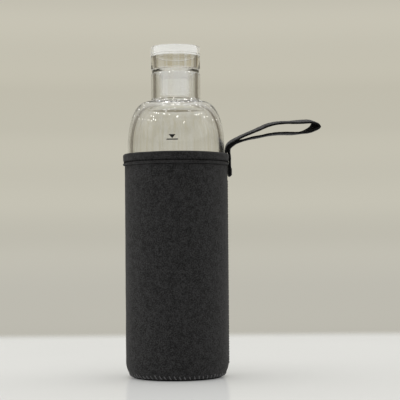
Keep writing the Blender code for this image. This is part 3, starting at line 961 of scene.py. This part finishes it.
def build_strap():
    """The band swept along its line, with slightly uneven faces and edges."""
    line = smooth_line(STRAP_LINE, STRAP_SAMPLES)
    section = strap_section()
    count = len(section)
    faces = [strap_face((a[1] + b[1]) / 2) for a, b in zip(section, section[1:] + section[:1])]
    bm = bmesh.new()
    rows = []
    for i, (along, height, rise) in enumerate(line):
        before = line[max(i - 1, 0)]
        after = line[min(i + 1, len(line) - 1)]
        tangent = (leaning(after.x, after.y) - leaning(before.x, before.y)).normalized()
        sideways = strap_sideways(along, height, rise)
        through = tangent.cross(sideways).normalized()
        centre = leaning(along, height)
        plump = strap_plumpness(height)
        row = []
        for across, depth in section:
            wobble = plump + 0.12 * lumps((along, across, height), 1.3, 7.0)
            edge_place = (along * 1.5, math.copysign(9.0, across), height * 1.5)
            frayed = 1.0 + 0.02 * lumps(edge_place, 1.2, 8.0)
            point = centre + sideways * across * frayed + through * depth * wobble
            row.append(bm.verts.new(point))
        rows.append(row)
    for row, following in zip(rows, rows[1:]):
        for k in range(count):
            m = (k + 1) % count
            face = bm.faces.new((row[k], row[m], following[m], following[k]))
            face.material_index = faces[k]
    for cut_end in (rows[0], rows[-1]):
        bm.faces.new(cut_end).material_index = 1
    strap = finish_piece("carrying_strap", bm, [STRAP_FACE, STRAP_LINING], None)
    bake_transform(strap)
    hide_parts("strap_loop", "strap_outer_tail", "strap_inner_tail")


def build_strap_tack():
    """The bar tack on the strap's doubled foot: level rows, close together."""
    low, high = box_mm("strap_tack_stitching")
    rng = random.Random(41)
    bm = bmesh.new()
    face_x = STRAP_ROOT_X + 0.45 + SEWN_THICK / 2
    for i in range(TACK_ROWS):
        z = low.z + (high.z - low.z) * i / (TACK_ROWS - 1)
        start = (face_x, -TACK_HALF + rng.uniform(-0.15, 0.15), z)
        end = (face_x, TACK_HALF + rng.uniform(-0.15, 0.15), z)
        stitch_into(bm, start, end, AXIS_X * 0.22, SEAM_THREAD_R)
    finish_piece("strap_bar_tack", bm, [DARK_THREAD], "sleeve", ["strap_tack_stitching"])


# ---- stage, light and camera ------------------------------------------------------------------
def build_floor():
    """A pale, slightly glossy table top whose far edge fades into the backdrop."""
    bm = bmesh.new()
    near, far, half = -1500.0, 460.0, 1500.0
    corners = ((-half, near), (half, near), (half, far), (-half, far))
    bm.faces.new([bm.verts.new((x, y, 0.0)) for x, y in corners])
    shader = Shader(bpy.data.materials.new("pale_table"))
    position = shader.position()
    clouds = shader.noise(position, 0.004, detail=1.0)
    tone = shader.ramp(clouds, [(0.3, (0.63, 0.64, 0.65)), (0.7, (0.65, 0.66, 0.67))])
    matt = shader.node("ShaderNodeBsdfDiffuse", Color=tone)
    gloss = shader.node("ShaderNodeBsdfGlossy", Color=(0.9, 0.9, 0.9, 1.0), Roughness=0.12)
    glow = shader.node("ShaderNodeEmission", Color=tone, Strength=0.24)
    lit = shader.add(matt.outputs["BSDF"], glow.outputs["Emission"])
    top = shader.mix(0.22, lit, gloss.outputs["BSDF"])
    away = shader.node("ShaderNodeBsdfTransparent")
    fade = shader.span(shader.split(position)["Y"], 340.0, 450.0)
    material = shader.surface(shader.mix(fade, top, away.outputs["BSDF"]))
    finish_piece("table_top", bm, [material], None)


def build_world():
    """A pale beige room: faint level bands behind the object, and dark uprights to the sides.

    It is brighter overhead and darker behind the camera.
    """
    world = bpy.data.worlds.new("studio")
    bpy.context.scene.world = world
    shader = Shader(world, "ShaderNodeOutputWorld")
    direction = shader.split(shader.node("ShaderNodeTexCoord").outputs["Generated"])
    height = shader.maths("MULTIPLY_ADD", direction["Z"], 0.5, 0.5)
    backdrop = shader.ramp(
        height,
        [
            (0.0, (0.5, 0.49, 0.45)),
            (0.485, (0.5, 0.485, 0.425)),
            (0.515, (0.565, 0.545, 0.462)),
            (0.56, (0.555, 0.53, 0.44)),
            (0.75, (0.62, 0.6, 0.54)),
            (1.0, (0.75, 0.75, 0.72)),
        ],
    )
    level = shader.node("ShaderNodeCombineXYZ", Z=direction["Z"]).outputs["Vector"]
    bands = shader.span(shader.noise(level, 14.0, detail=1.0), 0.4, 0.62, 0.95, 1.03)
    heading = shader.maths("ARCTAN2", direction["X"], direction["Y"])
    turn = shader.node("ShaderNodeCombineXYZ", X=heading).outputs["Vector"]
    uprights = shader.span(shader.noise(turn, 12.0, detail=2.0), 0.4, 0.55, 0.25, 1.0)
    aside = shader.span(shader.maths("ABSOLUTE", direction["X"]), 0.3, 0.6)
    shade = shader.maths("MULTIPLY", aside, uprights)
    dark_brown = (0.1, 0.08, 0.05, 1.0)
    colour = shader.node("ShaderNodeMix", data_type="RGBA")
    shader.tree.links.new(shade, colour.inputs["Factor"])
    shader.tree.links.new(backdrop, colour.inputs[6])
    colour.inputs[7].default_value = dark_brown
    behind = shader.span(direction["Y"], -0.9, -0.1, 0.45, 1.0)
    strength = shader.maths("MULTIPLY", behind, bands)
    room = shader.node("ShaderNodeBackground", Color=colour.outputs[2], Strength=strength)
    shader.surface(room.outputs["Background"])


def build_lights():
    """Soft panels that light the cloth and the table and stay out of the glass."""
    aim = Vector((0.0, 0.0, 0.11))
    panels = (
        ("overhead", (0.0, 0.1, 1.4), 1.6, 14.0),
        ("left_side", (-1.3, 0.3, 0.5), 0.8, 3.0),
        ("right_side", (1.3, 0.3, 0.5), 0.8, 3.0),
        ("low_left", (-1.0, -0.4, 0.1), 0.5, 1.3),
        ("low_front", (0.3, -1.1, 0.05), 0.4, 0.5),
    )
    for name, place, size, power in panels:
        data = bpy.data.lights.new(name, "AREA")
        data.size = size
        data.energy = power
        data.color = (1.0, 0.99, 0.96)
        panel = bpy.data.objects.new(name, data)
        bpy.context.scene.collection.objects.link(panel)
        panel.location = place
        panel.rotation_euler = (aim - Vector(place)).to_track_quat("-Z", "Y").to_euler()
        panel.visible_glossy = False
        panel.visible_transmission = False


def build_camera():
    """Level with the sleeve's middle, a little over 0.87 m in front of the bottle."""
    data = bpy.data.cameras.new("camera")
    data.sensor_width = 36.0
    data.lens = 117.4
    camera = bpy.data.objects.new("camera", data)
    bpy.context.scene.collection.objects.link(camera)
    camera.location = (0.0, -0.876, 0.0886)
    tilt_up, pan_right, roll = 1.93, 1.02, 0.45
    turn = (90.0 + tilt_up, roll, -pan_right)
    camera.rotation_mode = "XYZ"
    camera.rotation_euler = [math.radians(part) for part in turn]
    bpy.context.scene.camera = camera


build_glass()
build_fill_mark()
build_cap()
build_plug()
build_plug_seal()
build_gasket()
build_sleeve_body()
build_sleeve_base()
build_hem()
build_hem_stitches()
build_base_stitches()
build_side_stitches()
build_strap()
build_strap_tack()
build_floor()
build_world()
build_lights()
build_camera()
bpy.context.scene.view_settings.view_transform = "Standard"
